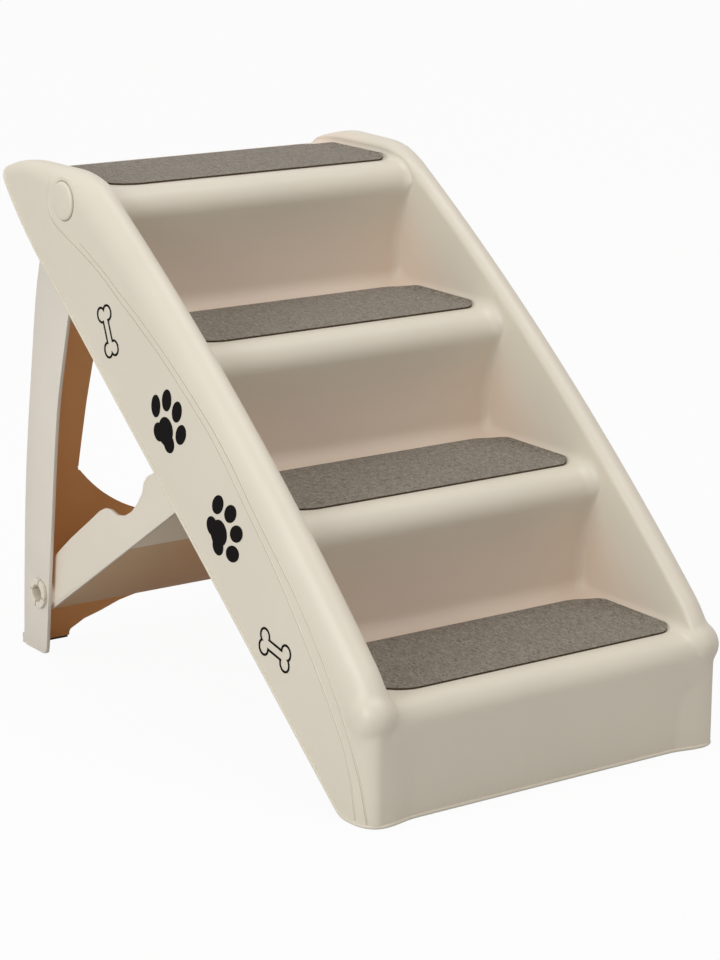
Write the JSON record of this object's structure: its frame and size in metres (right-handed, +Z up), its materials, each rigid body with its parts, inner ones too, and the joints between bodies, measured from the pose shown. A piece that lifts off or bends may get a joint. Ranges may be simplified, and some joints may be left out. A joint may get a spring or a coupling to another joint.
{
  "type": "folding pet stairs",
  "caption": "Folding pet stairs: moulded shell with raised side rails and felt treads, on a pivoting rear leg held by a hooked brace.",
  "frame": {"origin": "centre of the bounding box on the floor", "axes": "+Z up, -Y is the front where a pet steps on, +Y the high rear end, +X to the right seen from the front"},
  "size_m": [0.395, 0.62, 0.491],
  "materials": {
    "shell_plastic": "satin moulded cream plastic",
    "leg_plastic": "satin moulded cream plastic",
    "felt": "grey-taupe felt, mottled",
    "rubber": "matt",
    "print": "thin matt print"
  },
  "bodies": {
    "shell": {"stair_shell": "shell_plastic", "tread_mat_1": "felt", "tread_mat_2": "felt", "tread_mat_3": "felt", "tread_mat_4": "felt", "pivot_pin_left": "shell_plastic", "pivot_pin_right": "shell_plastic", "pin_clip_left": "leg_plastic", "pin_clip_right": "leg_plastic", "front_pad_left": "rubber", "front_pad_right": "rubber", "bone_upper_left": "print", "bone_upper_right": "print", "paw_upper_left": "print", "paw_upper_right": "print", "paw_lower_left": "print", "paw_lower_right": "print", "bone_lower_left": "print", "bone_lower_right": "print"},
    "leg": {"leg_frame": "leg_plastic", "rear_pad_left": "rubber", "rear_pad_right": "rubber"},
    "brace": {"brace_panel": "leg_plastic"}
  },
  "joints": [
    {"name": "leg_fold", "type": "hinge", "parent": "shell", "child": "leg", "pos_m": [0, 0.19096, 0.46252], "axis": [-1, 0, 0], "range_deg": [0, 51]},
    {"name": "brace_fold", "type": "hinge", "parent": "leg", "child": "brace", "pos_m": [0, 0.26195, 0.06201], "axis": [1, 0, 0], "range_deg": [0, 133]}
  ],
  "couplings": [
    {"joint": "brace_fold", "follows": "leg_fold", "ratio": 2.6078}
  ]
}
